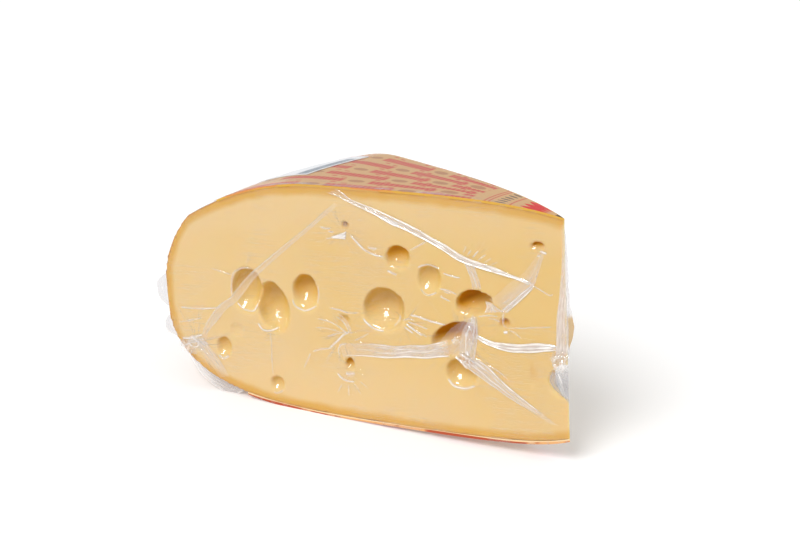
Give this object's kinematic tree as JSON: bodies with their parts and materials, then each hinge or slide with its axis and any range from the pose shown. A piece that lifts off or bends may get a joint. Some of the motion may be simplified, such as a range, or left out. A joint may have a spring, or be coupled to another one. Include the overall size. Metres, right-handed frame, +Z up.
{
  "type": "cheese wedge",
  "caption": "Tall wedge cut from a large eyed cheese wheel, rind round three sides, sealed tight in clear film with printed labels top and bottom.",
  "frame": {"origin": "centre of the bounding box on the floor", "axes": "+X along the front cut face from the rim to the tip, +Y from the front cut face towards the back, +Z up"},
  "size_m": [0.4328, 0.217, 0.2361],
  "materials": {
    "wrapped_cheese": "pale yellow cheese with an amber rind, under clear glossy film drawn tight and pleated",
    "printed_label": "tan paper printed with washed red radial bars and thin rings, under clear film",
    "white_sticker": "white sticker with a plain blue-grey strip"
  },
  "bodies": {
    "root": {"wrapped_wedge": "wrapped_cheese", "top_label": "printed_label", "underside_label": "printed_label", "weight_sticker": "white_sticker"}
  },
  "joints": []
}
